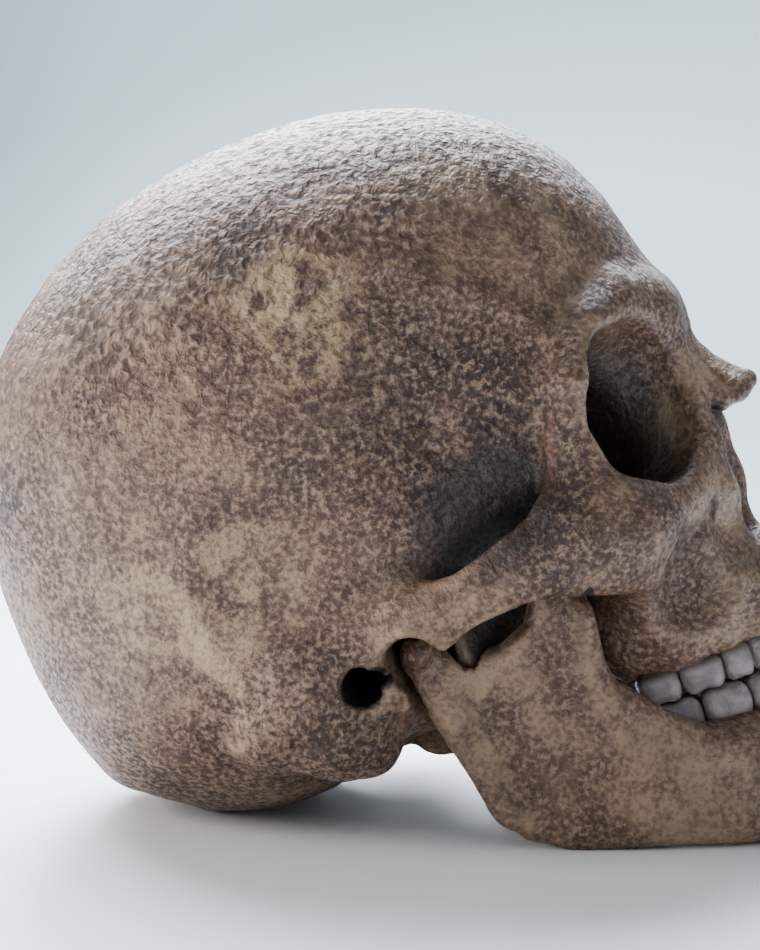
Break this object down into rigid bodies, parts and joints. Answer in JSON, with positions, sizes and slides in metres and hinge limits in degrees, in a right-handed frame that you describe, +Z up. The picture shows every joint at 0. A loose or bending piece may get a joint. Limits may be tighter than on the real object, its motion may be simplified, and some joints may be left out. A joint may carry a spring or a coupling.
{
  "type": "human skull replica",
  "caption": "Life-size replica of a human skull with its lower jaw, teeth shut, lying tilted back on the occiput and the lower edges of the jaw.",
  "frame": {"origin": "centre of the bounding box at the level of the surface the skull lies on", "axes": "+X towards the face, +Y to the skull's left, +Z up"},
  "size_m": [0.2252, 0.1402, 0.1685],
  "materials": {
    "frontal": "grained, antiqued brown, worn lighter on the ridges",
    "parietal": "grained, antiqued brown, worn lighter on the ridges",
    "occipital": "grained, antiqued brown, worn lighter on the ridges",
    "temporal": "grained, antiqued brown, worn lighter on the ridges",
    "sphenoid": "grained, antiqued brown, worn lighter on the ridges",
    "zygomatic": "grained, antiqued brown, worn lighter on the ridges",
    "maxilla": "grained, antiqued brown, worn lighter on the ridges",
    "nasal": "grained, antiqued brown, worn lighter on the ridges",
    "mandible": "grained, antiqued brown, worn lighter on the ridges"
  },
  "bodies": {
    "root": {"frontal": "frontal", "parietal_left": "parietal", "parietal_right": "parietal", "occipital": "occipital", "temporal_left": "temporal", "temporal_right": "temporal", "sphenoid": "sphenoid", "zygomatic_left": "zygomatic", "zygomatic_right": "zygomatic", "maxilla": "maxilla", "nasal_bones": "nasal", "mandible": "mandible"}
  },
  "joints": []
}
